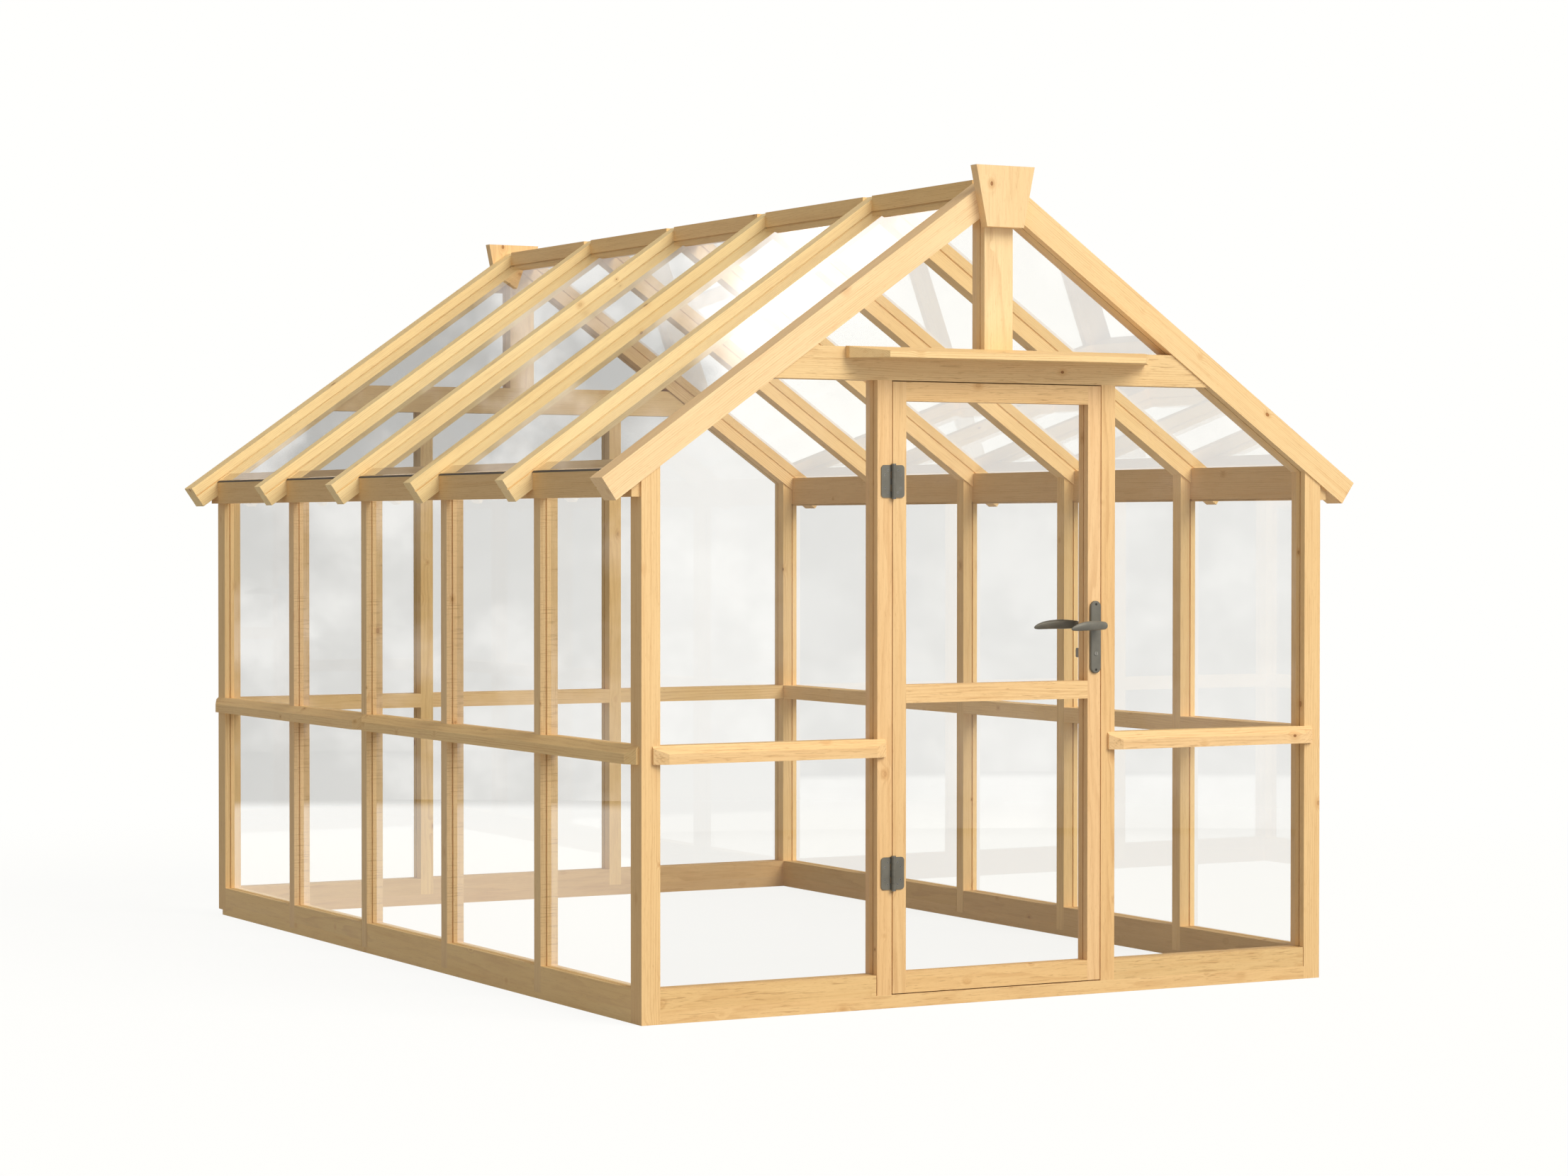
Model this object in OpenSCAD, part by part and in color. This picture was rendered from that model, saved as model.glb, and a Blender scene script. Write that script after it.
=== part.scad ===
/* [Walls] */
// Clear width of the first side bay, behind the front corner post
bay_1 = 594; // [500:1:700]
// Clear width of the second side bay
bay_2 = 639; // [500:1:700]
// Clear width of the third side bay
bay_3 = 605; // [500:1:700]
// Clear width of the fourth side bay
bay_4 = 602; // [500:1:700]
// Clear width of the last side bay, before the back corner post
bay_5 = 630; // [500:1:700]
// Width of a side stud along its wall
stud_w = 44; // [36:1:54]
// Thickness of the side walls
side_t = 56; // [50:1:58]
// Thickness of the front and back walls
front_t = 67; // [60:1:76]
// Width of a corner post, seen from the front
corner_w = 58; // [50:1:75]
// Clear width of the glazed bay on each side of the door
side_bay = 692; // [560:1:850]
// Width of a door jamb
jamb_w = 48; // [42:1:60]
// Height of the sill
sill_h = 38; // [30:1:50]
// Depth that the side studs are let into the sill
foot_in = 20; // [10:1:24]
// Distance that the back corner posts stand out past the side sills
back_step = 38; // [20:1:50]
// Height of the bottom rail that lies on the sill
rail_h = 58; // [45:1:80]
// Height of the transom's underside above the ground
transom_z = 720; // [550:1:840]
// Height of a transom
transom_h = 50; // [40:1:60]
// Gap left where one wall panel meets the next
panel_gap = 2.5; // [1:0.5:4]

/* [Glazing] */
// Thickness of the glass
glass_t = 4; // [3:0.5:4.5]
// Width of the glazing grooves
groove_w = 4.8; // [4.6:0.1:6]
// Depth of the glazing grooves
groove_d = 6; // [5:0.5:9]
// Room left at the edges of a pane in its grooves
pane_play = 1; // [0.5:0.5:2]
// Depth of the side glass behind the outer face of its wall
side_glass_in = 19.3; // [16:0.1:24]
// Depth of the front and back glass behind the outer face of its wall
front_glass_in = 24; // [20:0.5:30]
// Depth of the roof glass below the top of the rafters
roof_glass_in = 32; // [24:0.5:38]
// Thickness of the glazing tape under the roof glass
tape_t = 3.3; // [2:0.1:5]
// Width of the glazing tape
tape_w = 6; // [5:0.5:20]

/* [Roof] */
// Pitch of the roof in degrees
pitch = 35; // [30:1:40]
// Height of the eaves beam's underside above the ground
eaves_z = 1459; // [1350:1:1500]
// Distance that the eaves beam stands out of the wall
beam_out = 26.7; // [20:0.1:35]
// Height of the eaves beam's outer face
beam_h = 74; // [65:1:95]
// Distance of the eaves beam's end from the front of the corner post
beam_setback = 8; // [5:0.5:12]
// Depth of a rafter, square to the slope
rafter_d = 76; // [68:1:84]
// Thickness of the inner rafters
rafter_w = 55; // [48:1:65]
// Thickness of the gable rafters
gable_w = 77; // [73:1:90]
// Distance that the gable rafters stand out of the wall
gable_proud = 5; // [2:0.5:8]
// Level distance from the eaves beam to the rafter's tail
tail_out = 96.3; // [60:0.1:130]
// Height taken off the rafters' point at the ridge
ridge_flat = 21; // [10:1:26]
// Width of the ridge blocks
ridge_block_w = 92; // [80:1:110]
// Wood left below the glass groove of a ridge block
ridge_lip = 7; // [5:0.5:12]
// Height of the ridge end boards
end_board_h = 177; // [150:1:200]
// Height of an end board's top above the roof's point
end_board_up = 13; // [5:1:25]
// Thickness of the end boards
end_board_t = 33; // [20:1:45]
// Width of an end board at its lower end
end_board_low_w = 125; // [100:1:150]
// Width of an end board at its upper end
end_board_top_w = 198; // [160:1:240]
// Height of the tie beam above the door
tie_h = 93.5; // [75:0.5:110]
// Width of the king post
king_w = 96; // [80:1:110]

/* [Weather bars and canopy] */
// Distance that a weather bar stands out of the wall
weather_out = 25.7; // [18:0.1:35]
// Height of a weather bar's front face
weather_face_h = 28.5; // [20:0.5:36]
// Height of a weather bar at the wall
weather_back_h = 51; // [42:1:58]
// Depth of the square part of a weather bar's ends
weather_square = 8; // [4:0.5:12]
// Length of the slanted part of a weather bar's ends
weather_bevel = 40; // [20:1:60]
// Overlap of a front weather bar onto the posts beside it
weather_lap = 25; // [10:1:35]
// Overlap of a side weather bar onto the front corner post
side_bar_lap = 50; // [20:1:60]
// Overlap of a side weather bar onto the back corner post
side_bar_back_lap = 67; // [20:1:67]
// Depth of the canopy above the door
canopy_d = 120; // [100:1:160]
// Width of the canopy at the wall
canopy_w = 1018.4; // [900:0.1:1080]
// Width of the canopy along its front edge
canopy_front_w = 866; // [760:1:890]
// Depth of the square part of the canopy's ends
canopy_square = 21.6; // [10:0.1:40]
// Height of the canopy's front edge
canopy_front_h = 17.5; // [12:0.5:24]
// Height of the canopy at the wall
canopy_back_h = 34.5; // [26:0.5:40]
// Height of the canopy's underside above that of the tie beam
canopy_up = 61; // [30:1:66]

/* [Door] */
// Width of the door leaf
leaf_w = 708; // [600:1:850]
// Height of the door leaf
leaf_h = 1750; // [1700:1:1850]
// Thickness of the door leaf
leaf_t = 50; // [46:1:52]
// Gap between the door leaf and its frame
door_gap = 3; // [2:0.5:5]
// Width of a door stile
stile_w = 44; // [44:1:60]
// Height of the door's top rail
top_rail_h = 55; // [45:1:80]
// Height of the door's middle rail
mid_rail_h = 52; // [40:1:70]
// Height of the middle rail's underside above the bottom of the leaf
mid_rail_up = 831; // [700:1:850]
// Height of the door's bottom rail
low_rail_h = 59; // [45:1:100]
// Width of the door stops
stop_w = 15; // [10:1:18]
// Gap between the closed leaf and the door stops
stop_gap = 0.3; // [0.2:0.1:0.6]

/* [Hinges] */
// Height of a hinge leaf
hinge_h = 93; // [80:1:110]
// Width of one hinge leaf from the pin
hinge_leaf_w = 38; // [34:1:40]
// Thickness of a hinge leaf
hinge_t = 3; // [2.5:0.1:3.5]
// Radius of the hinge knuckle
knuckle_r = 7; // [6:0.1:8]
// Radius of the hinge pin
pin_r = 3; // [2.5:0.1:3.5]
// Height of a pin's head
pin_head_h = 4; // [2:0.5:6]
// Radius of a hinge leaf's outer corners
hinge_corner_r = 10; // [6:0.5:12]
// Distance of the upper hinge's middle from the top of the leaf
hinge_from_top = 285; // [150:1:400]
// Distance of the lower hinge's middle from the bottom of the leaf
hinge_from_low = 345; // [150:1:400]
// Radius of a screw's shank
screw_r = 2; // [1.6:0.1:2.2]
// Radius of a screw's head
screw_head_r = 4; // [3.4:0.1:4.4]
// Length of a screw
screw_len = 22; // [16:1:22]

/* [Lock] */
// Distance of the lever's spindle from the edge of the leaf
backset = 19.5; // [19:0.5:20.5]
// Height of the lever's spindle above the bottom of the leaf
lever_up = 1046; // [980:1:1100]
// Distance from the lever's spindle down to the thumb turn
turn_down = 83; // [72:1:90]
// Height of a handle plate
plate_h = 213; // [205:1:240]
// Width of a handle plate
plate_w = 36; // [34:1:37]
// Thickness of a handle plate
plate_t = 8; // [7:0.5:10]
// Width of the slanted border round a handle plate
plate_bevel = 2.5; // [1:0.5:4]
// Height of the lever's spindle above the lower end of its plate
plate_below = 141; // [130:1:150]
// Length of a lever from its spindle to its tip
lever_len = 131; // [110:1:140]
// Greatest height of a lever
lever_tall = 29; // [24:0.5:31]
// Thickness of a lever
lever_thick = 14; // [12:0.5:16]
// Distance of a lever's middle from the face of the leaf at its neck
lever_out = 50; // [45:1:58]
// Distance that the lever curves further out towards its tip
lever_sweep = 26; // [8:0.5:30]
// Distance that the lever's tip hangs below the spindle
lever_droop = 8.5; // [4:0.5:12]
// Radius of a lever's neck
neck_r = 9; // [8:0.5:10]
// Side of the lever's square spindle
spindle_w = 8; // [7:0.5:8.5]
// Side of the thumb turn's square spindle
turn_spindle_w = 5; // [4:0.5:5.5]
// Radius of the thumb turn's neck
turn_neck_r = 6; // [5:0.5:7]
// Height of the thumb turn's blade
turn_h = 28; // [22:1:32]
// Distance that the thumb turn stands out of its plate
turn_out = 38; // [28:1:42]
// Throw of the latch bolt
latch_throw = 11; // [8:0.5:12]
// Throw of the dead bolt
bolt_throw = 12; // [8:0.5:13]
// Height of the latch bolt
latch_h = 18; // [14:1:22]
// Height of the dead bolt
bolt_h = 20; // [16:1:24]
// Thickness of both bolts
bolt_t = 10; // [8:0.5:12]
// Thickness of the lock's front plate and the strike plate
forend_t = 3; // [2:0.5:3.5]

/* [Hidden] */

$fn = 64;

// Colours
pine = [0.93, 0.76, 0.52];
pine_door = [0.95, 0.79, 0.56];
pine_shade = [0.86, 0.69, 0.46];
clear_glass = [0.86, 0.90, 0.92, 0.35];
grey_metal = [0.49, 0.48, 0.44];
bright_metal = [0.66, 0.66, 0.66];
dark_rubber = [0.14, 0.14, 0.13];

// Small overshoot of a cut past the face that it opens
past = 1;
// Running clearance of a round pin in its hole
pin_play = 0.05;
// Clearance of a sliding bolt on each side
bolt_play = 0.15;
// Clearance of a fitted housing on each side
fit_play = 0.2;

// Plan of the house
bays = [bay_1, bay_2, bay_3, bay_4, bay_5];
last_bay = len(bays) - 1;
joint_stud = 2;
door_half = leaf_w / 2 + door_gap;
jamb_out = door_half + jamb_w;
half_w = jamb_out + side_bay + corner_w;
function bay_start(i) = i == 0 ? front_t : bay_start(i - 1) + bays[i - 1] + stud_w;
function bay_end(i) = bay_start(i) + bays[i];
house_d = bay_end(last_bay) + front_t;
y_front = (canopy_d - house_d - gable_proud - end_board_t) / 2;

// Heights
foot_z = sill_h - foot_in;
rail_top = sill_h + rail_h;
transom_top = transom_z + transom_h;
leaf_z = sill_h + door_gap;
leaf_top = leaf_z + leaf_h;
tie_z = leaf_top + door_gap;
tie_top = tie_z + tie_h;

// Roof slope, with depths measured square to it from the top of the rafters
tan_p = tan(pitch);
cos_p = cos(pitch);
sin_p = sin(pitch);
beam_under = roof_glass_in + glass_t / 2 + tape_t;
tape_play = 0.05;
apex_z = eaves_z + beam_h + (half_w + beam_out) * tan_p + beam_under / cos_p;
ridge_top = apex_z - ridge_flat;
tail_x = half_w + beam_out + tail_out;
function slope_z(x, deep) = apex_z - deep / cos_p - tan_p * abs(x);
function under_z(x) = slope_z(x, rafter_d);
function under_x(z, let_in) = (slope_z(0, rafter_d - let_in) - z) / tan_p;
function slope_t(x, deep) = (abs(x) + deep * sin_p) / cos_p;
function slope_pt(t, deep) = [deep * sin_p - t * cos_p, apex_z - t * sin_p - deep * cos_p];
tail_t = slope_t(tail_x, 0);

// Rafters from the front, first and last at the gables
last_rafter = last_bay + 1;
function rafter_y0(i) = i == 0 ? -gable_proud
    : i == last_rafter ? house_d + gable_proud - gable_w
    : bay_end(i - 1) + stud_w / 2 - rafter_w / 2;
function rafter_y1(i) = rafter_y0(i) + (i == 0 || i == last_rafter ? gable_w : rafter_w);

// Door fittings
hinge_x = -door_half + door_gap / 2;
knuckle_off = 0.3;
hinge_y = -knuckle_r - knuckle_off;
hinge_zs = [leaf_z + hinge_from_low, leaf_top - hinge_from_top];
knuckle_count = 5;
knuckle_gap = 0.4;
knuckle_seg = hinge_h / knuckle_count;
knuckle_room = 0.6;
leaf_start = knuckle_r + knuckle_room;
hinge_screw_in = 16.5;
hinge_screw_off = 25.8;
hinge_screw_high = 31.5;
hinge_screw_low = 18.5;
screw_head_h = 2.4;
socket_r = 1.5;
socket_d = 1.4;
lock_x = leaf_w / 2 - backset;
lever_z = leaf_z + lever_up;
turn_z = lever_z - turn_down;
plate_z = lever_z - plate_below;
plate_screw_in = 10;
plate_screws = [plate_z + plate_screw_in, plate_z + plate_h - plate_screw_in];
forend_w = 20;
forend_over = 12;
forend_x = leaf_w / 2 - forend_t;
case_d = 29;
case_t = 16;
case_over = 6;
latch_over_lever = 26;
bolt_over_turn = 24;
case_under_turn = 22;
latch_z = lever_z + latch_over_lever;
bolt_z = turn_z + bolt_over_turn;
case_z0 = turn_z - case_under_turn;
case_z1 = latch_z + latch_h / 2 + case_over;
latch_len = 13;
bolt_len = 24;
strike_w = 22;
strike_t = 2;
strike_over = 14;
strike_z0 = bolt_z - bolt_h / 2 - strike_over;
strike_z1 = latch_z + latch_h / 2 + strike_over;
strike_play = 1;
strike_room = 3;
spindle_play = 0.3;
bore_play = 1;
lever_end = 12;
lever_waist = 0.8;
lever_swell_at = 0.4;
lever_taper = 0.06;
lever_rise = 0.53;
lever_rings = 22;
lever_sides = 16;

// A block between two corners
module block(x0, x1, y0, y1, z0, z1) {
    translate([x0, y0, z0])
        cube([x1 - x0, y1 - y0, z1 - z0]);
}

// A flat outline in X and Z, given thickness from y0 to y1
module slab_y(y0, y1) {
    translate([0, y1, 0])
        rotate([90, 0, 0])
            linear_extrude(y1 - y0)
                children();
}

// A flat outline in Y and Z, given length from x0 to x1
module slab_x(x0, x1) {
    translate([x0, 0, 0])
        rotate([90, 0, 90])
            linear_extrude(x1 - x0)
                children();
}

// The house is drawn with its front wall at y = 0, then set about the middle of its whole length
module place() {
    translate([0, y_front, 0])
        children();
}

module both_sides() {
    children();
    mirror([1, 0, 0])
        children();
}

module at_back() {
    translate([0, house_d, 0])
        mirror([0, 1, 0])
            children();
}

module inside_of_leaf() {
    translate([0, leaf_t, 0])
        mirror([0, 1, 0])
            children();
}

// Panes of the left wall; with the full groove sizes they are the grooves themselves
module side_panes(let_in, thick) {
    x0 = -half_w + side_glass_in - thick / 2;
    for (i = [0:last_bay]) {
        y0 = bay_start(i) - let_in;
        y1 = bay_end(i) + let_in;
        block(x0, x0 + thick, y0, y1, rail_top - groove_d, transom_z + let_in);
        block(x0, x0 + thick, y0, y1, transom_top - groove_d, eaves_z + let_in);
    }
}

module side_grooves() {
    side_panes(groove_d, groove_w);
}

// Panes left of the middle in an end wall
module end_panes(let_in, thick) {
    x_out = -half_w + corner_w - let_in;
    x_in = -jamb_out + let_in;
    z_low = rail_top - groove_d;
    z_mid = transom_top - groove_d;
    z_tie = tie_z + let_in;
    z_gable = tie_top - groove_d;
    x_king = -king_w / 2 + let_in;
    deep = rafter_d - let_in;
    slab_y(front_glass_in - thick / 2, front_glass_in + thick / 2) {
        polygon([[x_out, z_low], [x_in, z_low], [x_in, transom_z + let_in],
            [x_out, transom_z + let_in]]);
        polygon([[x_out, z_mid], [x_in, z_mid], [x_in, z_tie],
            [-under_x(z_tie, let_in), z_tie], [x_out, slope_z(x_out, deep)]]);
        polygon([[-under_x(z_gable, let_in), z_gable], [x_king, z_gable],
            [x_king, slope_z(x_king, deep)]]);
    }
}

// Panes in the middle of the back wall
module middle_panes(let_in, thick) {
    x = door_half + let_in;
    y0 = front_glass_in - thick / 2;
    block(-x, x, y0, y0 + thick, rail_top - groove_d, transom_z + let_in);
    block(-x, x, y0, y0 + thick, transom_top - groove_d, tie_z + let_in);
}

module end_grooves() {
    both_sides()
        end_panes(groove_d, groove_w);
}

module back_grooves() {
    at_back() {
        end_grooves();
        middle_panes(groove_d, groove_w);
    }
}

// Upright of a side wall: the outer part carries the eaves beam, the inner part reaches the rafter
module side_upright(y0, y1) {
    slab_y(y0, y1)
        polygon([[-half_w, foot_z], [-half_w + side_t, foot_z],
            [-half_w + side_t, under_z(half_w - side_t)],
            [-half_w + side_glass_in, under_z(half_w - side_glass_in)],
            [-half_w + side_glass_in, eaves_z], [-half_w, eaves_z]]);
}

module side_studs() {
    difference() {
        for (i = [0:last_bay - 1])
            side_upright(bay_end(i), bay_end(i) + stud_w);
        side_grooves();
    }
}

// Corner post at the left of an end wall
module corner_post(z0) {
    difference() {
        slab_y(0, front_t)
            polygon([[-half_w, z0], [-half_w + corner_w, z0],
                [-half_w + corner_w, under_z(half_w - corner_w)], [-half_w, under_z(half_w)]]);
        block(-half_w - past, -half_w + side_glass_in, beam_setback, front_t + past,
            eaves_z, apex_z);
    }
}

module side_sill() {
    difference() {
        block(-half_w, -half_w + side_t, front_t, house_d - back_step, 0, sill_h);
        for (i = [0:last_bay - 1]) {
            slack = i == joint_stud ? panel_gap : 0;
            block(-half_w - past, -half_w + side_t + past, bay_end(i) - slack,
                bay_end(i) + stud_w + slack, foot_z, sill_h + past);
        }
        block(-half_w - past, -half_w + side_t + past, house_d - front_t, house_d,
            foot_z, sill_h + past);
    }
}

module side_rails() {
    difference() {
        for (i = [0:last_bay]) {
            y0 = bay_start(i) + (i == joint_stud + 1 ? panel_gap : 0);
            y1 = bay_end(i) - (i == joint_stud ? panel_gap : 0);
            block(-half_w, -half_w + side_t, y0, y1, sill_h, rail_top);
        }
        side_grooves();
    }
}

module side_transoms() {
    difference() {
        for (i = [0:last_bay])
            block(-half_w, -half_w + side_t, bay_start(i), bay_end(i), transom_z, transom_top);
        side_grooves();
    }
}

// Weather bar along X, its back on y = 0 and its underside on z = 0
module weather_bar(length) {
    intersection() {
        slab_x(0, length)
            polygon([[0, 0], [-weather_out, 0], [-weather_out, weather_face_h],
                [0, weather_back_h]]);
        linear_extrude(weather_back_h)
            polygon([[0, 0], [0, -weather_square], [weather_bevel, -weather_out],
                [length - weather_bevel, -weather_out], [length, -weather_square],
                [length, 0]]);
    }
}

module right_side_bars() {
    y_joint = bay_end(joint_stud) + stud_w / 2;
    y0 = front_t - side_bar_lap;
    y1 = house_d - front_t + side_bar_back_lap;
    translate([half_w, y0, transom_z])
        rotate([0, 0, 90])
            weather_bar(y_joint - fit_play - y0);
    translate([half_w, y_joint + fit_play, transom_z])
        rotate([0, 0, 90])
            weather_bar(y1 - y_joint - fit_play);
}

// Outline of a left rafter, its tail cut square and its head cut level
module rafter_outline() {
    polygon([[0, under_z(0)], slope_pt(tail_t, rafter_d), slope_pt(tail_t, 0),
        [-ridge_flat / tan_p, ridge_top], [0, ridge_top]]);
}

// Band along the left slope between two depths
module slope_band(t0, t1, deep0, deep1) {
    polygon([slope_pt(t0, deep0), slope_pt(t1, deep0), slope_pt(t1, deep1),
        slope_pt(t0, deep1)]);
}

roof_groove_t0 = slope_t(ridge_block_w / 2 - groove_d, roof_glass_in);
roof_pane_t0 = slope_t(ridge_block_w / 2 - groove_d + pane_play, roof_glass_in);
roof_pane_t1 = slope_t(half_w + beam_out, roof_glass_in);

module roof_groove(y0, y1) {
    slab_y(y0, y1)
        slope_band(roof_groove_t0, tail_t + past, roof_glass_in - groove_w / 2,
            roof_glass_in + groove_w / 2);
}

module inner_rafters() {
    for (i = [1:last_rafter - 1])
        difference() {
            slab_y(rafter_y0(i), rafter_y1(i))
                rafter_outline();
            roof_groove(rafter_y0(i) - past, rafter_y0(i) + groove_d);
            roof_groove(rafter_y1(i) - groove_d, rafter_y1(i) + past);
        }
}

// Left rafter of the front gable, with the roof groove on its inner face
module gable_rafter() {
    difference() {
        slab_y(rafter_y0(0), rafter_y1(0))
            rafter_outline();
        roof_groove(rafter_y1(0) - groove_d, rafter_y1(0) + past);
    }
}

module gable_rafter_pair() {
    difference() {
        gable_rafter();
        end_grooves();
    }
    at_back()
        difference() {
            gable_rafter();
            end_grooves();
        }
}

// Left eaves beam, notched for the rafters and rebated for the wall glass
module eaves_beam() {
    x0 = -half_w - beam_out;
    x1 = -half_w + side_glass_in;
    difference() {
        slab_y(beam_setback, house_d - beam_setback)
            polygon([[x0, eaves_z], [x1, eaves_z], [x1, slope_z(x1, beam_under)],
                [x0, slope_z(x0, beam_under)]]);
        for (i = [0:last_rafter])
            slab_y(rafter_y0(i), rafter_y1(i))
                rafter_outline();
        block(x1 - groove_w / 2, x1 + past, 0, house_d, eaves_z - past, eaves_z + groove_d);
    }
}

module left_tapes() {
    t1 = slope_t(half_w + beam_out, beam_under);
    for (i = [0:last_bay])
        slab_y(rafter_y1(i), rafter_y0(i + 1))
            slope_band(t1 - tape_w, t1, beam_under - tape_t + tape_play, beam_under);
}

module left_roof_panes() {
    let_in = groove_d - pane_play;
    for (i = [0:last_bay])
        slab_y(rafter_y1(i) - let_in, rafter_y0(i + 1) + let_in)
            slope_band(roof_pane_t0, roof_pane_t1, roof_glass_in - glass_t / 2,
                roof_glass_in + glass_t / 2);
}

module ridge_block(y0, y1) {
    side = ridge_block_w / 2;
    difference() {
        block(-side, side, y0, y1,
            slope_z(side, roof_glass_in + groove_w / 2) - ridge_lip, ridge_top);
        both_sides()
            slab_y(y0 - past, y1 + past)
                slope_band(roof_groove_t0, roof_groove_t0 + 3 * groove_d,
                    roof_glass_in - groove_w / 2, roof_glass_in + groove_w / 2);
    }
}

module end_board() {
    z0 = apex_z + end_board_up - end_board_h;
    slab_y(-gable_proud - end_board_t, -gable_proud)
        polygon([[-end_board_low_w / 2, z0], [end_board_low_w / 2, z0],
            [end_board_top_w / 2, z0 + end_board_h], [-end_board_top_w / 2, z0 + end_board_h]]);
}

module tie_beam() {
    difference() {
        slab_y(0, front_t)
            polygon([[-under_x(tie_z, 0), tie_z], [under_x(tie_z, 0), tie_z],
                [under_x(tie_top, 0), tie_top], [-under_x(tie_top, 0), tie_top]]);
        end_grooves();
    }
}

module king_post() {
    side = king_w / 2;
    difference() {
        slab_y(0, front_t)
            polygon([[-side, tie_top], [side, tie_top], [side, under_z(side)],
                [0, under_z(0)], [-side, under_z(side)]]);
        end_grooves();
    }
}

module end_transoms() {
    both_sides()
        block(-half_w + corner_w, -jamb_out, 0, front_t, transom_z, transom_top);
}

module end_bar() {
    translate([-half_w + corner_w - weather_lap, 0, transom_z])
        weather_bar(side_bay + 2 * weather_lap);
}

// Countersunk screw along +Y with its head's face at the origin, or its hole with some play
module screw(play) {
    rotate([-90, 0, 0]) {
        cylinder(h = screw_head_h, r1 = screw_head_r + play, r2 = screw_r + play);
        cylinder(h = screw_len + play, r = screw_r + play);
    }
}

module socket_screw() {
    difference() {
        screw(0);
        translate([0, -past, 0])
            rotate([-90, 0, 0])
                cylinder(h = socket_d + past, r = socket_r, $fn = 6);
    }
}

// Places of the screws in the door's half of both hinges
module at_hinge_screws() {
    for (z = hinge_zs)
        for (up = [-1, 1]) {
            translate([hinge_x + hinge_screw_in, -hinge_t, z + up * hinge_screw_high])
                children();
            translate([hinge_x + hinge_screw_off, -hinge_t, z + up * hinge_screw_low])
                children();
        }
}

module mirror_at_hinge() {
    translate([2 * hinge_x, 0, 0])
        mirror([1, 0, 0])
            children();
}

module at_plate_screws() {
    for (z = plate_screws)
        translate([lock_x, -plate_t, z])
            children();
}

// One hinge leaf on the +X side of the pin, with every second knuckle from the first one
module hinge_leaf(first) {
    round_x = hinge_leaf_w - hinge_corner_r;
    difference() {
        union() {
            slab_y(-hinge_t, 0) {
                translate([knuckle_gap, -hinge_h / 2])
                    square([round_x - knuckle_gap, hinge_h]);
                translate([round_x - past, hinge_corner_r - hinge_h / 2])
                    square([hinge_corner_r + past, hinge_h - 2 * hinge_corner_r]);
                for (up = [-1, 1])
                    translate([round_x, up * (hinge_h / 2 - hinge_corner_r)])
                        circle(r = hinge_corner_r);
            }
            for (k = [first:2:knuckle_count - 1])
                translate([0, hinge_y, k * knuckle_seg - hinge_h / 2 + knuckle_gap / 2])
                    cylinder(h = knuckle_seg - knuckle_gap, r = knuckle_r);
        }
        translate([0, hinge_y, -hinge_h])
            cylinder(h = 2 * hinge_h, r = pin_r + pin_play);
        for (k = [1 - first:2:knuckle_count - 1])
            block(-leaf_start, leaf_start, hinge_y - leaf_start, past,
                k * knuckle_seg - hinge_h / 2 - knuckle_gap / 2,
                (k + 1) * knuckle_seg - hinge_h / 2 + knuckle_gap / 2);
    }
}

module hinge_leaves(first) {
    difference() {
        for (z = hinge_zs)
            translate([hinge_x, 0, z])
                hinge_leaf(first);
        at_hinge_screws()
            screw(pin_play);
    }
}

// Handle plate standing out towards -Y from the face of the leaf
module plate_body() {
    side = plate_w / 2;
    half = plate_h / 2 - side;
    foot = plate_t - plate_bevel;
    rotate([90, 0, 0]) {
        for (up = [-1, 1])
            translate([0, up * half, 0]) {
                cylinder(h = foot, r = side);
                translate([0, 0, foot])
                    cylinder(h = plate_bevel, r1 = side, r2 = side - plate_bevel);
            }
        slab_y(-half, half)
            polygon([[-side, 0], [side, 0], [side, foot], [side - plate_bevel, plate_t],
                [plate_bevel - side, plate_t], [-side, foot]]);
    }
}

module handle_plate() {
    difference() {
        translate([lock_x, 0, plate_z + plate_h / 2])
            plate_body();
        translate([lock_x, past, lever_z])
            rotate([90, 0, 0])
                cylinder(h = plate_t + 2 * past, r = neck_r + pin_play);
        translate([lock_x, past, turn_z])
            rotate([90, 0, 0])
                cylinder(h = plate_t + 2 * past, r = turn_neck_r + pin_play);
        at_plate_screws()
            screw(pin_play);
    }
}

// Lever: closed skin through rings of points, from its rounded end to its tip
function lever_x(i) = lever_end - (lever_end + lever_len) * (1 - cos(180 * i / lever_rings)) / 2;
function lever_u(x) = max(0, -x / lever_len);
function lever_fat(x) = x > 0 ? sqrt(max(0, 1 - pow(x / lever_end, 2)))
    : (1 - lever_taper * lever_u(x)) * sqrt(max(0, 1 - pow(lever_u(x), 4)));
function lever_swell(x) = lever_waist
    + (1 - lever_waist) * sin(90 * min(1, lever_u(x) / lever_swell_at));
function lever_y(x) = -lever_out - lever_sweep * lever_u(x) * (2 - lever_u(x));
function lever_zc(x) = lever_droop * (lever_rise * lever_u(x)
    - (1 + lever_rise) * pow(lever_u(x), 3));
function lever_ring(x) = [for (j = [0:lever_sides - 1])
    let (a = 360 * j / lever_sides)
        [x, lever_y(x) + lever_fat(x) * lever_thick / 2 * cos(a),
            lever_zc(x) + lever_fat(x) * lever_swell(x) * lever_tall / 2 * sin(a)]];
lever_points = concat(
    [[lever_end, lever_y(0), 0]],
    [for (i = [1:lever_rings - 1]) each lever_ring(lever_x(i))],
    [[-lever_len, lever_y(-lever_len), lever_zc(-lever_len)]]);
function lever_at(i, j) = 1 + (i - 1) * lever_sides + j % lever_sides;
lever_tip = len(lever_points) - 1;
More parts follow.
